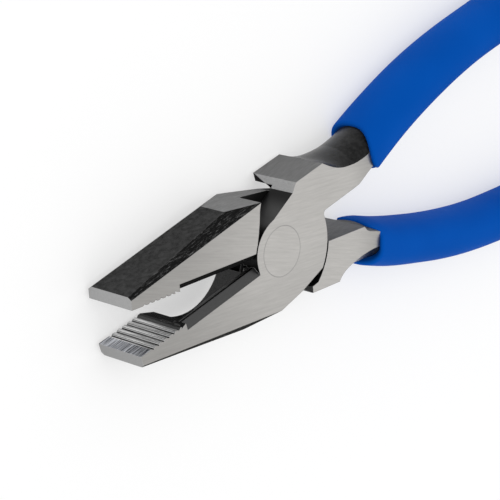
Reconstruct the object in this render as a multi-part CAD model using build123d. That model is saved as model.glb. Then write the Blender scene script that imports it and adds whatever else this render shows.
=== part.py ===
from build123d import *
import os
from math import asin, cos, degrees, radians, sin, sqrt

# Side-cutting lineman pliers, lying flat and part open, in millimetres.
# Z is the pivot axis, with z = 0 on the back ground face and the blade face up.
# X runs along the tool: jaws towards -X, handles towards +X. Y splits the two halves.
# Each half is drawn closed, with the parting plane on y = 0, and then turned open.

# Driving dimensions
thickness = 12.0            # across the ground faces
opening = 13.76             # angle between the halves as the tool lies
jaw_length = 40.2           # pivot to tip
parting_gap = 0.04          # each jaw face to the parting plane, closed
lap_gap = 0.06              # between the two laps
mid = thickness / 2

# Jaw outer side
tip_height = 2.5            # at the middle of the thickness
tip_face_height = 1.95      # on the ground faces, inside the bevel
break_x = -12.4             # where the taper meets the back facet
break_y = 11.1
break_bevel = 2.75          # bevel height across the thickness at the break
break_face_y = 9.35
facet_end = (-4.2, 11.45)
lower_jaw_belly = 0.45      # the lower jaw is this much deeper at the break

# Lap joint
lap_jaw_r = 7.0             # lap's round side towards the jaws
jaw_heel_r = 7.35           # matching hollow of the other jaw's heel
front_hub_r = 13.25         # front lap's round side towards the handles
rear_hub_r = 12.6           # rear lap's round side, ground a little smaller
hub_arc_end = 0.71          # x over radius where the round hub runs into the lap's edge
lap_edge_end = (2.6, 10.9)
shoulder_gap = 0.4          # from each hub to the shoulder that is hollowed round it
lap_edge_gap = 0.32         # from the lap's straight edge to the shoulder beside it
stop_low = (6.5, 9.7)
stop_high = (8.05, 11.3)
stop_slant = 1.65           # the stop is cut back this much towards the back face
shoulder_y = 11.3
shoulder_end = 16.2
inner_y = 1.78              # inner edge of the shank
neck_x = 24.6               # where the square shank breaks into the rounded neck

# Teeth, blade and pipe grip
teeth_start = -37.3
teeth_count = 6
tooth_pitch = 1.4
tooth_depth = 0.42
teeth_end = -28.9
blade_start = -27.9
blade_bevel_y = 1.5         # bevel's foot on the front face
blade_edge_depth = 1.4      # cutting edge behind the front face
blade_back_depth = 3.1      # where the pipe grip starts behind the front face
blade_relief = 0.5
grip_hollow_r = 11.4
grip_hollow_centre = (-16.2, 4.8)
hollow_wall_depth = 5.6     # the hollow reaches its full radius this far back
hollow_wall_r = 9.4

# Rivet
rivet_r = 4.0
rivet_head_r = 5.2
rivet_head_depth = 1.6
rivet_clearance = 0.08

# Handles: an arc that swings outward, then a long gentle one back in
handle_turn = (73.0, 13.3)
handle_r = 133.0
handle_back_r = 1000.0
handle_spread = 0.97        # the lower handle is set this much out, the upper one in
upper_grip_start = 29.8
lower_grip_start = 27.4
grip_end = 165.0
grip_cap = 7.0              # length of the rounded end
tang_start = 32.5
tang_end = 158.0
tang_half_width = 4.1
tang_half_thickness = 5.4


def on_circle(radius, x, side):
    return (x, side * sqrt(radius ** 2 - x ** 2))


def jaw_face_point(radius):
    """Where a circle about the pivot meets the jaw face."""
    return (-sqrt(radius ** 2 - parting_gap ** 2), -parting_gap)


def arc_middle(radius, start, end):
    """Point halfway along the arc about the pivot, between two points on it."""
    half = Vector((start[0] + end[0]) / 2, (start[1] + end[1]) / 2)
    scale = radius / half.length
    return (half.X * scale, half.Y * scale)


def plate(edges, low, high):
    return Pos(0, 0, low) * extrude(make_face(Curve() + edges), high - low)


def handle_point(x):
    """Centreline of the handle, closed: its height and its direction at x."""
    radius = handle_r if x < handle_turn[0] else handle_back_r
    turned = (x - handle_turn[0]) / radius
    drop = radius - sqrt(radius ** 2 - (x - handle_turn[0]) ** 2)
    return handle_turn[1] - drop, -degrees(asin(turned))


def jaw_outline(heel, belly):
    """Outer side of the lower jaw, from the heel round the tip to the parting plane."""
    tip_low = (-jaw_length, -tip_height)
    tip_high = (-jaw_length, -parting_gap)
    break_point = (break_x, -break_y - belly)
    facet = (facet_end[0], -facet_end[1] - belly / 3)
    return [
        Line(heel, facet),
        Line(facet, break_point),
        Line(break_point, tip_low),
        Line(tip_low, tip_high),
    ]


def front_plate(hub_r, belly):
    """The half of the thickness where jaw, lap and shoulder are one piece."""
    lap_top = on_circle(lap_jaw_r, -5.0, 1)
    lap_root = jaw_face_point(lap_jaw_r)
    crown = (0, 7.25)
    crotch = (hub_r + 0.75, inner_y)
    hub_top = on_circle(hub_r, hub_r - 0.03, 1)
    hub_low = on_circle(hub_r, hub_arc_end * hub_r, -1)
    flat = (lap_edge_end[0], -lap_edge_end[1])
    edges = [
        Line((-jaw_length, -parting_gap), lap_root),
        ThreePointArc(lap_root, arc_middle(lap_jaw_r, lap_root, lap_top), lap_top),
        ThreePointArc(lap_top, (-2.4, 6.65), crown),
        Line(crown, stop_low),
        Line(stop_low, stop_high),
        Line(stop_high, (shoulder_end, shoulder_y)),
        Line((shoulder_end, shoulder_y), (shoulder_end, inner_y)),
        Line((shoulder_end, inner_y), crotch),
        ThreePointArc(crotch, (hub_r + 0.2, inner_y - 0.25), hub_top),
        ThreePointArc(hub_top, arc_middle(hub_r, hub_top, hub_low), hub_low),
        Line(hub_low, flat),
    ]
    return plate(edges + jaw_outline(flat, belly), mid + lap_gap / 2, thickness)


def rear_jaw(belly):
    """Back half of the jaw, with its heel hollowed for the other half's lap."""
    heel_top = jaw_face_point(jaw_heel_r)
    heel_bend = on_circle(jaw_heel_r, -6.65, -1)
    heel_low = (-5.35, -9.9)
    heel_end = (-4.9, -11.42)
    edges = [
        Line((-jaw_length, -parting_gap), heel_top),
        ThreePointArc(heel_top, arc_middle(jaw_heel_r, heel_top, heel_bend), heel_bend),
        ThreePointArc(heel_bend, (-5.95, -6.0), heel_low),
        Line(heel_low, heel_end),
        Line(heel_end, (break_x, -break_y - belly)),
    ]
    tip = jaw_outline(heel_end, belly)[2:]
    return plate(edges + tip, 0, mid + lap_gap / 2)


def beside_lap_edge(other_hub_r, x):
    """Height of the shoulder's corner at x, just clear of the other lap's straight edge."""
    x0, y0 = on_circle(other_hub_r, hub_arc_end * other_hub_r, 1)
    x1, y1 = lap_edge_end
    return y0 + (y1 - y0) * (x - x0) / (x1 - x0) + lap_edge_gap


def rear_shoulder(other_hub_r):
    """The rest of the shoulder, hollowed for the other half's hub and cut to a slanted stop."""
    shoulder_r = other_hub_r + shoulder_gap
    top = on_circle(shoulder_r, 0.72 * shoulder_r, 1)
    low = (sqrt(shoulder_r ** 2 - inner_y ** 2), inner_y)
    corner_x = stop_high[0] + 0.1
    corner = (corner_x, beside_lap_edge(other_hub_r, corner_x))
    toe_x = 7.0
    stop_rise = (stop_high[1] - stop_low[1]) / (stop_high[0] - stop_low[0])
    toe = (toe_x, stop_low[1] + (toe_x - stop_low[0]) * stop_rise)
    edges = [
        ThreePointArc(low, arc_middle(shoulder_r, low, top), top),
        Line(top, corner),
        Line(corner, toe),
        Line(toe, stop_high),
        Line(stop_high, (shoulder_end, shoulder_y)),
        Line((shoulder_end, shoulder_y), (shoulder_end, inner_y)),
        Line((shoulder_end, inner_y), low),
    ]
    block = plate(edges, 0, mid + lap_gap / 2)
    slant = make_face(Plane.XZ * Polyline(
        (corner_x, 0), (corner_x - stop_slant, mid), (0, mid), (0, 0), close=True
    ))
    return block - extrude(slant, -2 * shoulder_y)


def shank_section(x, inner_face, inner_middle, outer_face, outer_middle):
    """Section with flat ground faces and two bowed sides."""
    outline = Curve() + [
        Line((inner_face, 0), (outer_face, 0)),
        ThreePointArc((outer_face, 0), (outer_middle, mid), (outer_face, thickness)),
        Line((outer_face, thickness), (inner_face, thickness)),
        ThreePointArc((inner_face, thickness), (inner_middle, mid), (inner_face, 0)),
    ]
    return Plane(origin=(x, 0, 0), x_dir=(0, 1, 0), z_dir=(1, 0, 0)) * make_face(outline)


def shank(spread):
    """Forged neck that turns from the square shoulder into an oval handle."""
    square = [
        (shoulder_end, inner_y, inner_y - 0.03, shoulder_y - 0.1, shoulder_y),
        (18.0, inner_y, inner_y - 0.04, 9.6, 10.6),
        (20.5, inner_y, inner_y - 0.06, 8.25 + 0.33 * spread, 10.3 + 0.1 * spread),
        (22.5, inner_y, inner_y - 0.06, 7.58 + 0.41 * spread, 10.22 + 0.3 * spread),
        (neck_x, inner_y + 0.05, inner_y, 7.12 + 0.46 * spread, 10.2 + 0.48 * spread),
    ]
    neck = [
        square[-1],
        (25.5, 2.48 + 0.41 * spread, 1.95, 6.98 + 0.44 * spread, 10.21 + 0.52 * spread),
        (27.5, 3.2 + 0.41 * spread, 2.1 + 0.3 * spread, 6.85 + 0.4 * spread, 10.3 + 0.5 * spread),
        (29.4, 3.79 + 0.45 * spread, 2.2 + 0.6 * spread, 6.95 + 0.4 * spread, 10.6 + 0.7 * spread),
        (32.0, 4.9 + 0.7 * spread, 2.6 + spread, 7.7 + 0.6 * spread, 11.3 + spread),
        (34.0, 5.6 + spread, 3.1 + spread, 8.4 + spread, 11.9 + spread),
    ]
    return loft([shank_section(*section) for section in square]) + loft(
        [shank_section(*section) for section in neck]
    )


def handle_plane(x, spread, along=None):
    """Plane across the handle at x, square to it unless a direction is given."""
    height, angle = handle_point(x)
    height = height + spread
    if along is not None:
        return Plane(origin=(x, height, mid), x_dir=(0, 0, 1), z_dir=along)
    direction = (cos(radians(angle)), sin(radians(angle)), 0)
    return Plane(origin=(x, height, mid), x_dir=(0, 0, 1), z_dir=direction)


def tang(spread):
    """Oval bar inside the dipped grip."""
    stations = [tang_start, 46.0, 60.0, 74.0, 100.0, 130.0, tang_end]
    section = Ellipse(tang_half_thickness, tang_half_width)
    return loft([handle_plane(x, spread) * section for x in stations])


def grip_shape(start, spread):
    """Outside of the dipped grip: half thickness and half width along the handle."""
    stations = [
        (38.0, 7.0, 5.4),
        (50.0, 6.9, 5.3),
        (64.0, 6.8, 5.2),
        (80.0, 6.75, 5.25),
        (100.0, 6.8, 5.6),
        (120.0, 6.95, 6.0),
        (140.0, 7.0, 6.1),
        (grip_end - grip_cap, 6.9, 6.0),
    ]
    sections = [handle_plane(start, spread, (1, 0, 0)) * Ellipse(6.9, 5.6)]
    for x, half_z, half_y in stations:
        sections.append(handle_plane(x, spread) * Ellipse(half_z, half_y))
    cap_x, cap_z, cap_y = stations[-1]
    cap = scale(Sphere(1), by=(cap_z, cap_y, grip_cap))
    return loft(sections) + handle_plane(cap_x, spread) * cap


def outer_bevels(belly):
    """Two grinding cuts that bevel the jaw's outer edges, front and back."""
    cuts = []
    for face_z, inward in ((0, 1), (thickness, -1)):
        tip = Vector(-jaw_length, -tip_face_height, face_z)
        heel = Vector(break_x, -break_face_y, face_z)
        edge = Vector(break_x, -break_y - belly, face_z + inward * break_bevel)
        normal = (heel - tip).cross(edge - tip).normalized()
        if normal.Y > 0:
            normal = -normal
        cuts.append(Plane(origin=tip, z_dir=normal) * Pos(0, 0, 15) * Box(150, 150, 30))
    return cuts


def teeth_cuts():
    """Straight notches across the jaw, and the slope that ends them."""
    cuts = []
    for index in range(teeth_count):
        x = teeth_start + 0.4 + index * tooth_pitch
        half = tooth_pitch / 2 - 0.12
        notch = Polygon((x - half, 0.1), (x, -tooth_depth), (x + half, 0.1), align=None)
        cuts.append(extrude(notch, thickness))
    return cuts


def pipe_grip_cuts():
    """Hollow behind the blade, and the slope that leads down into it."""
    top = thickness - blade_back_depth
    wall = thickness - hollow_wall_depth
    centre = grip_hollow_centre
    bowl = Pos(centre[0], centre[1], wall / 2 - 0.5) * Cylinder(grip_hollow_r, wall + 1)
    neck_height = top - wall
    neck = Pos(centre[0], centre[1], wall + neck_height / 2) * Cone(
        grip_hollow_r, hollow_wall_r, neck_height
    )
    slope = Polygon((teeth_end, 0.2), (teeth_end, 0), (-24.0, -2.45), (-20.0, 0.2), align=None)
    return [bowl, neck, Pos(0, 0, -0.5) * extrude(slope, top + 0.5)]


def blade_cuts():
    """Bevel on the front face, relief behind the edge, and the notch at the blade's start."""
    front = thickness + 0.001
    edge_z = thickness - blade_edge_depth
    back_z = thickness - blade_back_depth
    blade_length = -blade_start - lap_jaw_r
    section = Plane(origin=(blade_start, 0, 0), x_dir=(0, 1, 0), z_dir=(1, 0, 0))
    bevel = Polygon((-blade_bevel_y, front), (0.2, front), (0.2, edge_z - 0.15), align=None)
    relief = Polygon(
        (-parting_gap, edge_z), (0.2, edge_z), (0.2, back_z - 0.1), (-blade_relief, back_z - 0.1),
        align=None,
    )
    notch = Polygon((teeth_end - 0.2, 0.1), (-29.2, -0.45), (blade_start, 0.0), align=None)
    return [
        extrude(section * bevel, blade_length, dir=(1, 0, 0)),
        extrude(section * relief, blade_length, dir=(1, 0, 0)),
        Pos(0, 0, mid) * extrude(notch, mid + 0.1),
    ]


def rivet_shape(clearance):
    """Countersunk rivet: flush head on the front, flush tail on the back."""
    shank_radius = rivet_r + clearance
    head_radius = rivet_head_r + clearance
    profile = Polygon(
        (0, 0), (head_radius, 0), (shank_radius, rivet_head_depth),
        (shank_radius, thickness - rivet_head_depth), (head_radius, thickness), (0, thickness),
        align=None,
    )
    return revolve(Plane.XZ * profile, Axis.Z)


def half_blank(own_hub_r, other_hub_r, spread, belly):
    """One half, closed, before its jaw face is cut: lower jaw, front lap, upper handle."""
    head = front_plate(own_hub_r, belly) + rear_jaw(belly)
    head = head + rear_shoulder(other_hub_r)
    return cut_all(head + shank(spread) + tang(spread), outer_bevels(belly))


def lap_bevel():
    """Grinding cut along the outer edge of the back half's lap, on the back face."""
    low = Vector(-4.2, 11.0, 0)
    high = Vector(9.5, 8.4, 0)
    inside = Vector(2.6, 11.0, 4.0)
    normal = (high - low).cross(inside - low).normalized()
    if normal.Y < 0:
        normal = -normal
    return Plane(origin=low, z_dir=normal) * Pos(0, 0, 15) * Box(60, 60, 30)


def cut_all(shape, cuts):
    for cut in cuts:
        shape = shape - cut
    return shape


def flipped(shape):
    """The same shape turned half a turn about the tool's length."""
    return Pos(0, 0, thickness) * Rot(180, 0, 0) * shape


os.makedirs("parts", exist_ok=True)

jaw_face = teeth_cuts() + pipe_grip_cuts() + blade_cuts()
upper_blank = half_blank(front_hub_r, rear_hub_r, -handle_spread, lower_jaw_belly)
lower_blank = half_blank(rear_hub_r, front_hub_r, handle_spread, 0)
upper_grip = grip_shape(upper_grip_start, -handle_spread) - upper_blank
lower_grip = flipped(grip_shape(lower_grip_start, handle_spread) - lower_blank)

front_half = cut_all(upper_blank, jaw_face + [rivet_shape(0)])
opposite_cuts = [mirror(cut, about=Plane.XZ) for cut in jaw_face]
back_cuts = opposite_cuts + [lap_bevel(), rivet_shape(rivet_clearance)]
back_half = cut_all(flipped(lower_blank), back_cuts)

open_front = Rot(0, 0, opening / 2)
open_back = Rot(0, 0, -opening / 2)
pieces = {
    "front_half": open_front * front_half,
    "back_half": open_back * back_half,
    "pivot_rivet": open_front * rivet_shape(0),
    "upper_grip": open_front * upper_grip,
    "lower_grip": open_back * lower_grip,
}
for name, piece in pieces.items():
    export_step(piece, "parts/" + name + ".step")
    print(name, round(piece.volume), [round(s, 2) for s in piece.bounding_box().size])
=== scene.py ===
import math

import bpy
from mathutils import Matrix, Vector


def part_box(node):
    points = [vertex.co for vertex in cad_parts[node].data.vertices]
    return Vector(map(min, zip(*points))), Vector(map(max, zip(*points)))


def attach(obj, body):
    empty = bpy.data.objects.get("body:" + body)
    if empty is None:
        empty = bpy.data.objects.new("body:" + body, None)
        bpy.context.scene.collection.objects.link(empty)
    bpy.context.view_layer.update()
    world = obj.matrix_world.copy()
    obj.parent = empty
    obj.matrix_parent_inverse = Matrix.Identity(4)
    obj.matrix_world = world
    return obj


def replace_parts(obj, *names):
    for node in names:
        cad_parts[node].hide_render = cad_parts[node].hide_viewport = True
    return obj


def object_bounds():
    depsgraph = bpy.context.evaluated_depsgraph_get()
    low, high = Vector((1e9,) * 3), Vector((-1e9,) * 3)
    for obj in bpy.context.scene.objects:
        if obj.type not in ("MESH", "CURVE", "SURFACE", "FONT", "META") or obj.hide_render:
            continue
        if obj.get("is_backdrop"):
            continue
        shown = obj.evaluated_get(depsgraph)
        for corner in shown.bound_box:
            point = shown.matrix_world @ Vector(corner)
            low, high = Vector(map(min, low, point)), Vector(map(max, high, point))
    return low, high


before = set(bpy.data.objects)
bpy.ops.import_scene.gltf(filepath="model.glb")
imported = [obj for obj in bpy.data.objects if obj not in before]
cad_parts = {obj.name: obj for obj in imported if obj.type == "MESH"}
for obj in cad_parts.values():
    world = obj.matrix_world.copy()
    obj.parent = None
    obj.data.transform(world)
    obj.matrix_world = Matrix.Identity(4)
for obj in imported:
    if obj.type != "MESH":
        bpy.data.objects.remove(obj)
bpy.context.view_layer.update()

MM = 0.001

# The tool lies on its back ground face: z runs through the pivot, x along the handles.
# Lengths are in millimetres until they reach Blender.
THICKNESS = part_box("pivot_rivet")[1].z / MM
OPENING = 13.76                 # degrees between the halves at rest
RIVET_R = 5.2
LAP_ROUND_R = 7.0               # round side of each lap, towards the jaws
TIP_X = -40.2
JAW_BREAK_X = -12.4             # where the jaw's taper meets the facet behind it
FACET_END_X = -4.2
BEVEL_END_X = -2.0

# Teeth, and the slope that leads from them into the pipe grip
TEETH_START_X = -37.5
CREST_X = -36.2                 # the crest nearest the tip
TOOTH_PITCH = 1.4
LAST_TOOTH_X = -30.2
TEETH_END_X = -28.8
SLOPE_END_X = -23.0

# Shoulder behind the joint
STOP_X = 6.5                    # low corner of the stop
STOP_Y = 9.7
SHOULDER_Y = 11.3
SHOULDER_TOE_X = 13.5
SHOULDER_END_X = 16.2
INNER_SIDE_X = 13.0

# Handle centreline, closed: an arc that swings outward, then a long gentle one back in.
HANDLE_TURN = (73.0, 13.3)
HANDLE_R = 133.0
HANDLE_BACK_R = 1000.0
HANDLE_SPREAD = 0.97            # the lower handle is set this much out, the upper one in


def grey(level):
    """A neutral colour from its 8-bit display level."""
    return tone(level, level, level)


def tone(*levels):
    """A linear colour from 8-bit display levels."""
    linear = []
    for level in levels:
        v = level / 255
        linear.append(v / 12.92 if v <= 0.04045 else ((v + 0.055) / 1.055) ** 2.4)
    return (*linear, 1.0)


# ---------------------------------------------------------------- material nodes


class Graph:
    """Short calls that build one procedural material."""

    def __init__(self, name):
        self.material = bpy.data.materials.new(name)
        self.material.use_nodes = True
        self.nodes = self.material.node_tree.nodes
        self.links = self.material.node_tree.links
        self.nodes.clear()
        self.shader = self.nodes.new("ShaderNodeBsdfPrincipled")
        output = self.nodes.new("ShaderNodeOutputMaterial")
        self.links.new(self.shader.outputs["BSDF"], output.inputs["Surface"])

    def plug(self, socket, value):
        if isinstance(value, bpy.types.NodeSocket):
            self.links.new(value, socket)
        else:
            socket.default_value = value

    def math(self, operation, a, b=0.0, c=0.0):
        node = self.nodes.new("ShaderNodeMath")
        node.operation = operation
        for socket, value in zip(node.inputs, (a, b, c)):
            self.plug(socket, value)
        return node.outputs[0]

    def product(self, first, *others):
        for other in others:
            first = self.math("MULTIPLY", first, other)
        return first

    def average(self, a, b, share):
        """A mean of a and b in which a has this share."""
        first = self.math("MULTIPLY", a, share)
        return self.math("ADD", first, self.math("MULTIPLY", b, 1 - share))

    def length(self, x, y):
        return self.math("SQRT", self.math("ADD", self.product(x, x), self.product(y, y)))

    def above(self, value, edge, soft=0.02):
        """0 below the edge, 1 above it, smooth across twice soft."""
        node = self.nodes.new("ShaderNodeMapRange")
        node.interpolation_type = "SMOOTHSTEP"
        self.plug(node.inputs["Value"], value)
        node.inputs["From Min"].default_value = edge - soft
        node.inputs["From Max"].default_value = edge + soft
        return node.outputs["Result"]

    def below(self, value, edge, soft=0.02):
        return self.math("SUBTRACT", 1.0, self.above(value, edge, soft))

    def within(self, value, low, high, soft=0.02):
        return self.product(self.above(value, low, soft), self.below(value, high, soft))

    def remap(self, value, low, high):
        """A 0 to 1 value stretched to low to high."""
        return self.math("MULTIPLY_ADD", value, high - low, low)

    def mix(self, factor, a, b):
        node = self.nodes.new("ShaderNodeMix")
        node.data_type = "RGBA"
        self.plug(node.inputs["Factor"], factor)
        first, second = [s for s in node.inputs if s.type == "RGBA"]
        self.plug(first, a)
        self.plug(second, b)
        return next(s for s in node.outputs if s.type == "RGBA")

    def blend(self, factor, a, b):
        node = self.nodes.new("ShaderNodeMix")
        node.data_type = "FLOAT"
        sockets = [s for s in node.inputs if s.type == "VALUE"]
        for socket, value in zip(sockets, (factor, a, b)):
            self.plug(socket, value)
        return node.outputs["Result"]

    def scale_colour(self, colour, amount):
        node = self.nodes.new("ShaderNodeVectorMath")
        node.operation = "SCALE"
        is_socket = isinstance(colour, bpy.types.NodeSocket)
        self.plug(node.inputs[0], colour if is_socket else colour[:3])
        self.plug(node.inputs["Scale"], amount)
        return node.outputs["Vector"]

    def axes(self, vector):
        node = self.nodes.new("ShaderNodeSeparateXYZ")
        self.plug(node.inputs[0], vector)
        return node.outputs["X"], node.outputs["Y"], node.outputs["Z"]

    def turned(self, vector, degrees):
        """The vector turned about z."""
        node = self.nodes.new("ShaderNodeVectorRotate")
        node.rotation_type = "Z_AXIS"
        self.plug(node.inputs["Vector"], vector)
        node.inputs["Angle"].default_value = math.radians(degrees)
        return node.outputs["Vector"]

    def stretched(self, vector, scale):
        node = self.nodes.new("ShaderNodeVectorMath")
        node.operation = "MULTIPLY"
        self.plug(node.inputs[0], vector)
        node.inputs[1].default_value = scale
        return node.outputs["Vector"]

    def noise(self, vector, scale, detail=3.0, roughness=0.55):
        node = self.nodes.new("ShaderNodeTexNoise")
        self.plug(node.inputs["Vector"], vector)
        node.inputs["Scale"].default_value = scale
        node.inputs["Detail"].default_value = detail
        node.inputs["Roughness"].default_value = roughness
        return node.outputs["Fac"]

    def bump(self, height, strength, distance, normal=None):
        """Normal of a surface with these heights, laid over another normal if one is given."""
        node = self.nodes.new("ShaderNodeBump")
        self.plug(node.inputs["Height"], height)
        self.plug(node.inputs["Strength"], strength)
        node.inputs["Distance"].default_value = distance
        if normal is not None:
            self.plug(node.inputs["Normal"], normal)
        return node.outputs["Normal"]

    def bevelled_normal(self, radius):
        node = self.nodes.new("ShaderNodeBevel")
        node.samples = 6
        node.inputs["Radius"].default_value = radius
        return node.outputs["Normal"]

    def object_space(self):
        """Object-space place, in millimetres, and normal."""
        node = self.nodes.new("ShaderNodeTexCoord")
        place = self.stretched(node.outputs["Object"], (1 / MM,) * 3)
        return place, node.outputs["Normal"]


# ---------------------------------------------------------------- steel

EDGE_TINT = grey(90)            # steel and its oxide brighten little at a grazing angle
GROUND_TONE = tone(182, 180, 177)
SEAM_TONE = grey(110)           # fine ring round the rivet's head
SEAM_STRENGTH = 0.45
WORN_AND_HIGHLIGHT_TONE = grey(186)           # bare metal on the edges, together with a painted edge highlight
EDGE_LINE_RADIUS = 0.16              # width of the bright line along an edge: wear and a painted highlight
GRAIN_TURN = 17.0               # degrees from the grinding scratches to the tool's length
RIVET_GRAIN_TURN = 24.0
BUMP_STRENGTH = 0.25
BUMP_DEPTH = 0.05


def ground_grain(g, place, turn):
    """Grinding scratches: long coarse ones, and fine ones at a slightly different angle."""
    coarse = g.noise(g.stretched(g.turned(place, turn), (0.10, 1.6, 1.6)), 1.6, 4.0, 0.7)
    fine = g.noise(g.stretched(g.turned(place, turn + 3.0), (0.3, 6.0, 6.0)), 1.2, 3.0, 0.7)
    return coarse, fine


def ground_shade(g, place, coarse, fine):
    """Lightness of a ground face: its scratches, over a slow drift of tone."""
    drift = g.noise(place, 0.09, 2.0, 0.5)
    streaks = g.remap(g.average(coarse, fine, 0.6), 0.7, 1.3)
    return g.product(streaks, g.remap(drift, 0.94, 1.06))


def ground_roughness(g, fine):
    return g.remap(fine, 0.30, 0.48)


class SteelHalf(Graph):
    """Steel of one half, laid out on the closed half with the front lap and the lower jaw.

    x, y and z are its place in millimetres, and nx, ny and nz its normal. The other half is
    turned half a turn about the tool's length first, apart from row_z and row_nz, which keep
    to the blades' side.
    """

    def __init__(self, name, turn, flipped):
        super().__init__(name)
        place, normal = self.object_space()
        self.place = self.turned(place, -turn)
        self.x, self.y, self.z = self.axes(self.place)
        self.nx, self.ny, self.nz = self.axes(self.turned(normal, -turn))
        self.row_z, self.row_nz = self.z, self.nz
        if flipped:
            self.y = self.math("MULTIPLY", self.y, -1.0)
            self.z = self.math("SUBTRACT", THICKNESS, self.z)
            self.ny = self.math("MULTIPLY", self.ny, -1.0)
            self.nz = self.math("MULTIPLY", self.nz, -1.0)
        self.flatness = self.math("ABSOLUTE", self.nz)
        self.coarse, self.fine = ground_grain(self, self.place, GRAIN_TURN)
        along = self.stretched(self.place, (0.35, 5.0, 5.0))
        self.brushed = self.above(self.noise(along, 1.2, 3.0, 0.6), 0.5, 0.18)
        self.mottle = self.noise(self.place, 0.9, 5.0, 0.7)
        self.neck = self.product(
            self.above(self.ny, 0.0, 0.2),
            self.above(self.x, SHOULDER_END_X + 0.3, 0.2),
            self.below(self.flatness, 0.95),
        )

    def brushed_steel(self, dark, light):
        return self.mix(self.brushed, grey(dark), grey(light))

    def mottled_oxide(self, dark, light, level=0.5):
        return self.mix(self.above(self.mottle, level, 0.2), grey(dark), grey(light))

    def jaw_side_zones(self):
        """Black taper, two brushed facets behind it, and the black bevels with painted glints."""
        side = self.product(self.below(self.ny, -0.25), self.below(self.y, -1.0))
        taper = self.product(side, self.below(self.x, FACET_END_X, 0.1))
        facet = self.product(side, self.within(self.x, JAW_BREAK_X, FACET_END_X, 0.05))
        lap_side = self.product(side, self.within(self.x, FACET_END_X, SHOULDER_TOE_X, 0.1))
        bevel = self.product(
            side, self.within(self.flatness, 0.2, 0.9, 0.03), self.below(self.x, BEVEL_END_X)
        )
        # Painted highlights: streaky glints put into the bevels' colour.
        along = self.stretched(self.turned(self.place, -14.0), (0.4, 3.4, 3.4))
        painted_glints = self.above(self.noise(along, 1.3, 5.0, 0.8), 0.60, 0.08)
        return [
            (taper, self.mottled_oxide(66, 88, 0.52), 0.55),
            (facet, self.brushed_steel(150, 178), 0.42),
            (lap_side, self.brushed_steel(160, 186), 0.42),
            (bevel, self.mix(painted_glints, grey(28), grey(112)), 0.32),
        ]

    def shoulder_zones(self):
        """Shoulder, its stop and the stop's slanted part, the inner side and the dark neck."""
        top = self.product(
            self.above(self.ny, 0.6),
            self.above(self.y, SHOULDER_Y - 0.4),
            self.above(self.x, STOP_X - 0.5),
        )
        stop = self.product(
            self.below(self.nx, -0.5),
            self.above(self.ny, 0.5),
            self.above(self.y, STOP_Y - 0.3),
            self.above(self.x, STOP_X - 0.3),
        )
        slant = self.product(
            self.below(self.nx, -0.85),
            self.below(self.z, THICKNESS / 2),
            self.above(self.y, STOP_Y - 0.5),
        )
        inner_side = self.product(
            self.below(self.ny, -0.3), self.above(self.y, 1.0), self.above(self.x, INNER_SIDE_X)
        )
        return [
            (top, self.brushed_steel(128, 146), 0.45),
            (stop, self.brushed_steel(146, 172), 0.4),
            (slant, grey(62), 0.5),
            (inner_side, self.brushed_steel(150, 176), 0.4),
            (self.neck, self.mottled_oxide(14, 38), 0.27),
        ]

    def tooth_steel(self):
        """Crests with a painted highlight, slopes darkened by painted shade, a painted bright line
        for one cutter ridge on each, and a drawn flat at the tip.
        """
        # Painted light: the crests are lit and the slopes shaded by height, and each slope gets a
        # painted bright line.
        painted_crest_highlight = self.above(self.y, -0.085, 0.03)
        across = self.stretched(self.place, (2.6, 2.6, 0.10))
        marks = self.above(self.noise(across, 1.0, 3.0, 0.7), 0.5, 0.07)
        along = self.stretched(self.place, (0.10, 5.0, 5.0))
        drawn = self.above(self.noise(along, 1.0, 3.0, 0.7), 0.5, 0.08)
        teeth = self.math("MULTIPLY_ADD", self.x, 1 / TOOTH_PITCH, -CREST_X / TOOTH_PITCH)
        painted_ridge_highlight = self.within(self.math("FRACT", teeth), 0.64, 0.71, 0.03)
        slope = self.mix(painted_ridge_highlight, self.mix(marks, grey(30), grey(92)), grey(206))
        steel = self.mix(painted_crest_highlight, slope, self.mix(marks, grey(190), grey(248)))
        flat = self.mix(drawn, tone(74, 76, 82), tone(226, 228, 234))
        steel = self.mix(self.below(self.x, TEETH_START_X, 0.05), steel, flat)
        return self.mix(self.above(self.x, LAST_TOOTH_X, 0.1), steel, grey(84))

    def jaw_face_zones(self):
        """Teeth, the hollow and slope behind them, the blade's bevel and relief, and the tip."""
        teeth = self.product(
            self.above(self.ny, 0.3), self.below(self.x, TEETH_END_X, 0.1), self.above(self.y, -0.9)
        )
        behind_teeth = self.within(self.x, TEETH_END_X, -LAP_ROUND_R, 0.1)
        hollow = self.product(self.above(self.ny, 0.1), behind_teeth, self.below(self.y, 0.5))
        relief = self.product(
            behind_teeth,
            self.within(self.y, -1.0, -0.2, 0.05),
            self.within(self.row_z, 8.6, 11.0, 0.1),
        )
        slope = self.product(
            self.within(self.x, TEETH_END_X, SLOPE_END_X, 0.1),
            self.above(self.ny, 0.8),
            self.below(self.row_z, 9.5),
        )
        blade = self.product(
            self.above(self.row_nz, 0.3),
            self.within(self.y, -1.7, 0.3),
            self.within(self.x, -28.2, -6.8),
            self.above(self.row_z, 10.2),
        )
        tip = self.product(self.below(self.nx, -0.9), self.below(self.x, TIP_X + 0.7))
        return [
            (teeth, self.tooth_steel(), 0.36),
            (hollow, self.brushed_steel(60, 80), 0.4),
            (relief, self.brushed_steel(120, 150), 0.4),
            (slope, self.brushed_steel(74, 98), 0.45),
            (blade, self.mix(self.fine, grey(72), grey(92)), 0.36),
            (tip, self.mix(self.coarse, grey(158), grey(182)), 0.36),
        ]

    def lap_oxide_and_painted_highlight(self):
        """Dark oxide on the round side of the lap, with a painted highlight as a lighter soft band.
        """
        # Painted highlight: a lighter band standing for a reflection on the lap's round side.
        painted_highlight_band = self.product(self.within(self.x, -3.5, 3.5, 2.2), self.above(self.y, 2.0, 1.5))
        return self.mix(painted_highlight_band, grey(50), grey(82))

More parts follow.
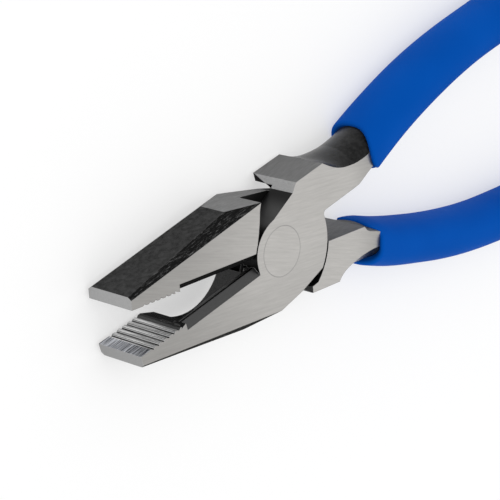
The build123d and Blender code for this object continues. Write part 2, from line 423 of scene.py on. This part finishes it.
    def ground_mask(self):
        flat = self.above(self.flatness, 0.93, 0.02)
        front = self.product(flat, self.above(self.z, THICKNESS - 0.2, 0.1))
        back = self.product(flat, self.below(self.z, 0.2, 0.1))
        return self.math("MAXIMUM", front, back)

    def ground_colour(self):
        """Scratched grey, with painted shade that darkens it towards the jaw's tip, the lower edge
        and the grips.
        """
        # Painted shade: the ground face is darkened towards the tip, the lower edge and the grips,
        # standing in for light that falls off there.
        tip_painted_shade = self.remap(self.above(self.x, -17.0, 15.0), 0.72, 1.0)
        grip_painted_shade = self.remap(self.below(self.x, 24.5, 4.0), 0.82, 1.0)
        painted_shade = self.math("MINIMUM", tip_painted_shade, grip_painted_shade)
        painted_shade = self.product(painted_shade, self.remap(self.above(self.y, -5.0, 7.0), 0.94, 1.0))
        shade = ground_shade(self, self.place, self.coarse, self.fine)
        face = self.scale_colour(GROUND_TONE, self.product(shade, painted_shade))
        radius = self.length(self.x, self.y)
        seam = self.within(radius, RIVET_R - 0.09, RIVET_R + 0.07, 0.06)
        return self.mix(self.product(seam, SEAM_STRENGTH), face, SEAM_TONE)

    def wear_and_highlight(self, soft_normal):
        """1 along the edges, where the bevelled normal leaves the face's own: worn bare metal and a
        painted edge highlight.
        """
        geometry = self.nodes.new("ShaderNodeNewGeometry")
        facing = self.nodes.new("ShaderNodeVectorMath")
        facing.operation = "DOT_PRODUCT"
        self.plug(facing.inputs[0], soft_normal)
        self.plug(facing.inputs[1], geometry.outputs["True Normal"])
        return self.above(self.math("SUBTRACT", 1.0, facing.outputs["Value"]), 0.10, 0.07)


def steel_half(name, turn, flipped):
    """Satin ground faces, black oxide where the forging is left dark, machined jaw faces."""
    g = SteelHalf(name, turn, flipped)
    colour, roughness = g.lap_oxide_and_painted_highlight(), 0.45
    for zone in g.jaw_side_zones() + g.shoulder_zones() + g.jaw_face_zones():
        mask, zone_colour, zone_roughness = zone
        colour = g.mix(mask, colour, zone_colour)
        roughness = g.blend(mask, roughness, zone_roughness)
    ground = g.ground_mask()
    colour = g.mix(ground, colour, g.ground_colour())
    roughness = g.blend(ground, roughness, ground_roughness(g, g.fine))
    soft_normal = g.bevelled_normal(EDGE_LINE_RADIUS * MM)
    # Worn bare metal and a painted highlight along the edges.
    colour = g.mix(g.product(g.wear_and_highlight(soft_normal), 0.55), colour, WORN_AND_HIGHLIGHT_TONE)
    height = g.blend(ground, g.average(g.brushed, g.mottle, 0.5), g.average(g.coarse, g.fine, 0.5))
    g.plug(g.shader.inputs["Base Color"], colour)
    g.plug(g.shader.inputs["Roughness"], roughness)
    g.plug(g.shader.inputs["Metallic"], g.math("SUBTRACT", 1.0, g.neck))
    g.shader.inputs["Specular Tint"].default_value = EDGE_TINT
    bump = g.bump(height, BUMP_STRENGTH, BUMP_DEPTH * MM, soft_normal)
    g.plug(g.shader.inputs["Normal"], bump)
    return g.material


def rivet_steel():
    """Ground flush with the laps, with scratches of its own and a fine seam round the head."""
    g = Graph("rivet_steel")
    place, _ = g.object_space()
    x, y, _ = g.axes(place)
    coarse, fine = ground_grain(g, place, RIVET_GRAIN_TURN)
    face = g.scale_colour(GROUND_TONE, ground_shade(g, place, coarse, fine))
    seam = g.above(g.length(x, y), RIVET_R - 0.09, 0.06)
    colour = g.mix(g.product(seam, SEAM_STRENGTH), face, SEAM_TONE)
    g.plug(g.shader.inputs["Base Color"], colour)
    g.plug(g.shader.inputs["Roughness"], ground_roughness(g, fine))
    g.shader.inputs["Metallic"].default_value = 1.0
    g.shader.inputs["Specular Tint"].default_value = EDGE_TINT
    g.plug(g.shader.inputs["Normal"], g.bump(fine, BUMP_STRENGTH, BUMP_DEPTH * MM))
    return g.material


# ---------------------------------------------------------------- vinyl grips

# (x, half size) along the closed handle; squareness is 2 for an ellipse and more for a squarer one
GRIP_HALF_WIDTH = ((25.0, 5.4), (50.0, 5.28), (70.0, 5.2), (120.0, 6.0), (158.0, 6.0))
GRIP_HALF_DEPTH = ((25.0, 7.0), (55.0, 6.88), (75.0, 6.75), (120.0, 6.95), (158.0, 6.9))
GRIP_SQUARENESS = ((25.0, 2.45), (45.0, 2.25), (70.0, 2.1), (158.0, 2.1))
GRIP_END = 164.9
GRIP_CAP = 7.5                  # length of the rounded end
CAP_FULLNESS = 0.86             # under 1, the end is blunter than a ball
UPPER_RIM_X = 29.45             # where the upper grip starts, at the middle of the front face
UPPER_RIM_SIDE_X = 32.05        # and on the outer side
LOWER_RIM_X = 28.75
LIP_R = 0.55                    # rounding of the rim
AROUND = 96                     # points round the grip
ALONG = 70                      # steps from behind the lip to the rounded end
CAP_STEPS = 17

# The rim's inner face, as (depth under the skin, distance behind the rim), from the inside out
THROAT = ((4.2, 2.6), (2.6, 1.5), (1.7, 0.75), (1.15, 0.3), (0.85, 0.08))
LIP_END = 6.0
LIP_STATIONS = (0.0, 0.04, 0.12, 0.25, 0.4, 0.6, 1.0, 1.6, 2.4, 3.4, 4.6, LIP_END)


def vinyl():
    """Semi-matte dipped vinyl with a faint orange-peel skin."""
    g = Graph("blue_vinyl")
    place, _ = g.object_space()
    peel = g.noise(place, 1.1, 3.0, 0.5)
    cloud = g.noise(place, 0.05, 2.0, 0.5)
    colour = g.mix(g.above(cloud, 0.5, 0.25), tone(0, 74, 165), tone(2, 80, 174))
    g.plug(g.shader.inputs["Base Color"], colour)
    g.plug(g.shader.inputs["Roughness"], g.remap(peel, 0.5, 0.64))
    g.shader.inputs["Specular IOR Level"].default_value = 0.06
    g.shader.inputs["IOR"].default_value = 1.25
    g.plug(g.shader.inputs["Normal"], g.bump(peel, 0.12, 0.1 * MM))
    return g.material


def handle_height(x):
    """Height of the handle's centreline over the parting plane, closed."""
    radius = HANDLE_R if x < HANDLE_TURN[0] else HANDLE_BACK_R
    run = x - HANDLE_TURN[0]
    return HANDLE_TURN[1] - radius + math.sqrt(radius ** 2 - run ** 2)


def rise(value):
    """0 to 1, smooth at both ends."""
    value = min(max(value, 0.0), 1.0)
    return value * value * (3 - 2 * value)


def eased(value, stations):
    """Smooth curve through (place, height) stations."""
    for (x0, v0), (x1, v1) in zip(stations, stations[1:]):
        if value <= x1:
            return v0 + (v1 - v0) * rise((value - x0) / (x1 - x0))
    return stations[-1][1]


# Across is 1 on the grip's outer side and -1 on its inner one; up is 1 on the front face.

def upper_rim(across, up):
    """Where the upper grip starts: bowed back from the front face to both sides."""
    if up < 0:
        return UPPER_RIM_SIDE_X
    sideways = across if across > 0 else -1.3 * across
    return UPPER_RIM_X + (UPPER_RIM_SIDE_X - UPPER_RIM_X) * min(1.0, sideways) ** 2


def lower_rim(across, up):
    """Where the lower grip starts: drawn forward on both sides, more sharply on the inner one."""
    if across > 0:
        return LOWER_RIM_X - 1.75 * across ** 2
    return LOWER_RIM_X + 0.35 * rise(-across / 0.4) - 2.1 * rise((-across - 0.45) / 0.42)


def upper_offset(x):
    """How far the grip's middle is outside the handle's centreline."""
    return -HANDLE_SPREAD


def lower_offset(x):
    return HANDLE_SPREAD + 0.35 * rise((46.0 - x) / 14.0)


def upper_taper(across):
    """How far the skin thins towards the rim, and over what length."""
    return 0.0, 1.0


def lower_taper(across):
    return 1.1 * max(-across, 0.0) ** 3, 4.0


def rounded(angle, squareness):
    """A point on a unit ring between a circle and a rounded square."""
    across, up = math.cos(angle), math.sin(angle)
    power = 2 / squareness
    return (math.copysign(abs(across) ** power, across), math.copysign(abs(up) ** power, up))


def grip_line(angle, rim, offset, taper):
    """One line of points along the grip, at one angle round it, closed and in millimetres."""
    start = rim(math.cos(angle), math.sin(angle))
    thinning, thinning_length = taper(math.cos(angle))

    def point(x, inset, shrink=1.0, height=None):
        across, up = rounded(angle, eased(x, GRIP_SQUARENESS))
        half_y = (eased(x, GRIP_HALF_WIDTH) - inset) * shrink
        half_z = (eased(x, GRIP_HALF_DEPTH) - inset) * shrink
        height = handle_height(x) if height is None else height
        return (x, height + offset(x) + half_y * across, THICKNESS / 2 + half_z * up)

    def drawn_in(distance):
        """How far the skin is drawn in, this far from the rim."""
        inset = 0.0
        if distance < LIP_R:
            inset = LIP_R - math.sqrt(LIP_R ** 2 - (LIP_R - distance) ** 2)
        if distance < thinning_length:
            inset += thinning * (1 - distance / thinning_length) ** 2
        return inset

    line = [point(start + back, inset + drawn_in(LIP_R)) for inset, back in THROAT]
    line += [point(start + distance, drawn_in(distance)) for distance in LIP_STATIONS]
    first, last = start + LIP_END, GRIP_END - GRIP_CAP
    for index in range(1, ALONG + 1):
        line.append(point(first + (last - first) * index / ALONG, 0.0))
    slope = handle_height(last) - handle_height(last - 1.0)
    for index in range(1, CAP_STEPS):
        turn = math.pi / 2 * index / CAP_STEPS
        run = GRIP_CAP * math.sin(turn)
        shrink = math.cos(turn) ** CAP_FULLNESS
        line.append(point(last + run, 0.0, shrink, handle_height(last) + slope * run))
    return line


def skin_faces(length):
    """Quads between neighbouring lines of points, and a fan at each end."""
    faces = []
    throat, end = AROUND * length, AROUND * length + 1
    for index in range(AROUND):
        a, b = index * length, (index + 1) % AROUND * length
        faces += [(a + k, b + k, b + k + 1, a + k + 1) for k in range(length - 1)]
        faces.append((throat, b, a))
        faces.append((a + length - 1, b + length - 1, end))
    return faces


def grip(name, body, node, turn, flipped, rim, offset, taper, material):
    """A dipped sleeve: a closed skin from inside the steel, over the lip and round the end."""
    angles = [2 * math.pi * index / AROUND for index in range(AROUND)]
    lines = [grip_line(angle, rim, offset, taper) for angle in angles]
    points = [Vector(point) for line in lines for point in line]
    points.append(sum((Vector(line[0]) for line in lines), Vector()) / AROUND)
    end_height = handle_height(GRIP_END) + offset(GRIP_END)
    points.append(Vector((GRIP_END, end_height, THICKNESS / 2)))
    if flipped:
        points = [Vector((p.x, -p.y, THICKNESS - p.z)) for p in points]
    place = Matrix.Rotation(math.radians(turn), 3, "Z") * MM
    mesh = bpy.data.meshes.new(name)
    mesh.from_pydata([tuple(place @ p) for p in points], [], skin_faces(len(lines[0])))
    mesh.polygons.foreach_set("use_smooth", [True] * len(mesh.polygons))
    mesh.materials.append(material)
    mesh.update()
    obj = bpy.data.objects.new(name, mesh)
    bpy.context.scene.collection.objects.link(obj)
    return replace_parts(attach(obj, body), node)


# ---------------------------------------------------------------- build

half_turn = OPENING / 2
materials = {
    "front_half": steel_half("steel_front", half_turn, False),
    "back_half": steel_half("steel_back", -half_turn, True),
    "pivot_rivet": rivet_steel(),
}
for node, material in materials.items():
    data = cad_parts[node].data
    data.materials.clear()
    data.materials.append(material)

blue = vinyl()
grip("upper_grip_sleeve", "front_half", "upper_grip", half_turn, False,
     upper_rim, upper_offset, upper_taper, blue)
grip("lower_grip_sleeve", "back_half", "lower_grip", -half_turn, True,
     lower_rim, lower_offset, lower_taper, blue)


# ---------------------------------------------------------------- stage, light and camera

FLOOR_HALF = 3.0                # metres
FLOOR_GAP = 0.1                 # millimetres from the floor to the grips that lie on it


def floor(level):
    """Plain pale floor, lit a little from within, so that it stays white."""
    g = Graph("pale_floor")
    g.shader.inputs["Base Color"].default_value = (0.5, 0.5, 0.5, 1.0)
    g.shader.inputs["Roughness"].default_value = 1.0
    g.shader.inputs["Specular IOR Level"].default_value = 0.0
    g.shader.inputs["Emission Color"].default_value = (1.0, 1.0, 1.0, 1.0)
    g.shader.inputs["Emission Strength"].default_value = 0.5
    mesh = bpy.data.meshes.new("floor")
    signs = ((-1, -1), (1, -1), (1, 1), (-1, 1))
    corners = [(FLOOR_HALF * x, FLOOR_HALF * y, level) for x, y in signs]
    mesh.from_pydata(corners, [], [(0, 1, 2, 3)])
    mesh.materials.append(g.material)
    obj = bpy.data.objects.new("floor", mesh)
    bpy.context.scene.collection.objects.link(obj)
    obj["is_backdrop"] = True


def softbox(name, direction, distance, size, power):
    """A square area light that faces the pivot."""
    light = bpy.data.lights.new(name, "AREA")
    light.shape = "SQUARE"
    light.size = size
    light.energy = power
    obj = bpy.data.objects.new(name, light)
    bpy.context.scene.collection.objects.link(obj)
    away = Vector(direction).normalized()
    obj.location = away * distance
    obj.rotation_mode = "QUATERNION"
    obj.rotation_quaternion = away.to_track_quat("Z", "Y")


def surroundings(strength):
    """Even white light from all round."""
    world = bpy.data.worlds.new("studio")
    world.use_nodes = True
    background = world.node_tree.nodes["Background"]
    background.inputs["Color"].default_value = (1.0, 1.0, 1.0, 1.0)
    background.inputs["Strength"].default_value = strength
    bpy.context.scene.world = world


def camera(place, turn_degrees, lens):
    """Camera at a place in metres, with its lens in millimetres."""
    data = bpy.data.cameras.new("camera")
    data.lens = lens
    data.sensor_width = 36.0
    obj = bpy.data.objects.new("camera", data)
    bpy.context.scene.collection.objects.link(obj)
    obj.location = place
    obj.rotation_euler = [math.radians(a) for a in turn_degrees]
    bpy.context.scene.camera = obj


floor(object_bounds()[0].z - FLOOR_GAP * MM)
softbox("key", (-0.2, 0.3, 0.93), distance=1.2, size=1.0, power=2.6)
softbox("hub_light", (0.62, -0.38, 0.68), distance=0.42, size=0.2, power=0.055)
surroundings(strength=0.86)
camera((-0.24799, 0.15902, 0.27607), (-14.9729, -45.3324, -12.3209), lens=144.0)
bpy.context.scene.view_settings.view_transform = "Standard"
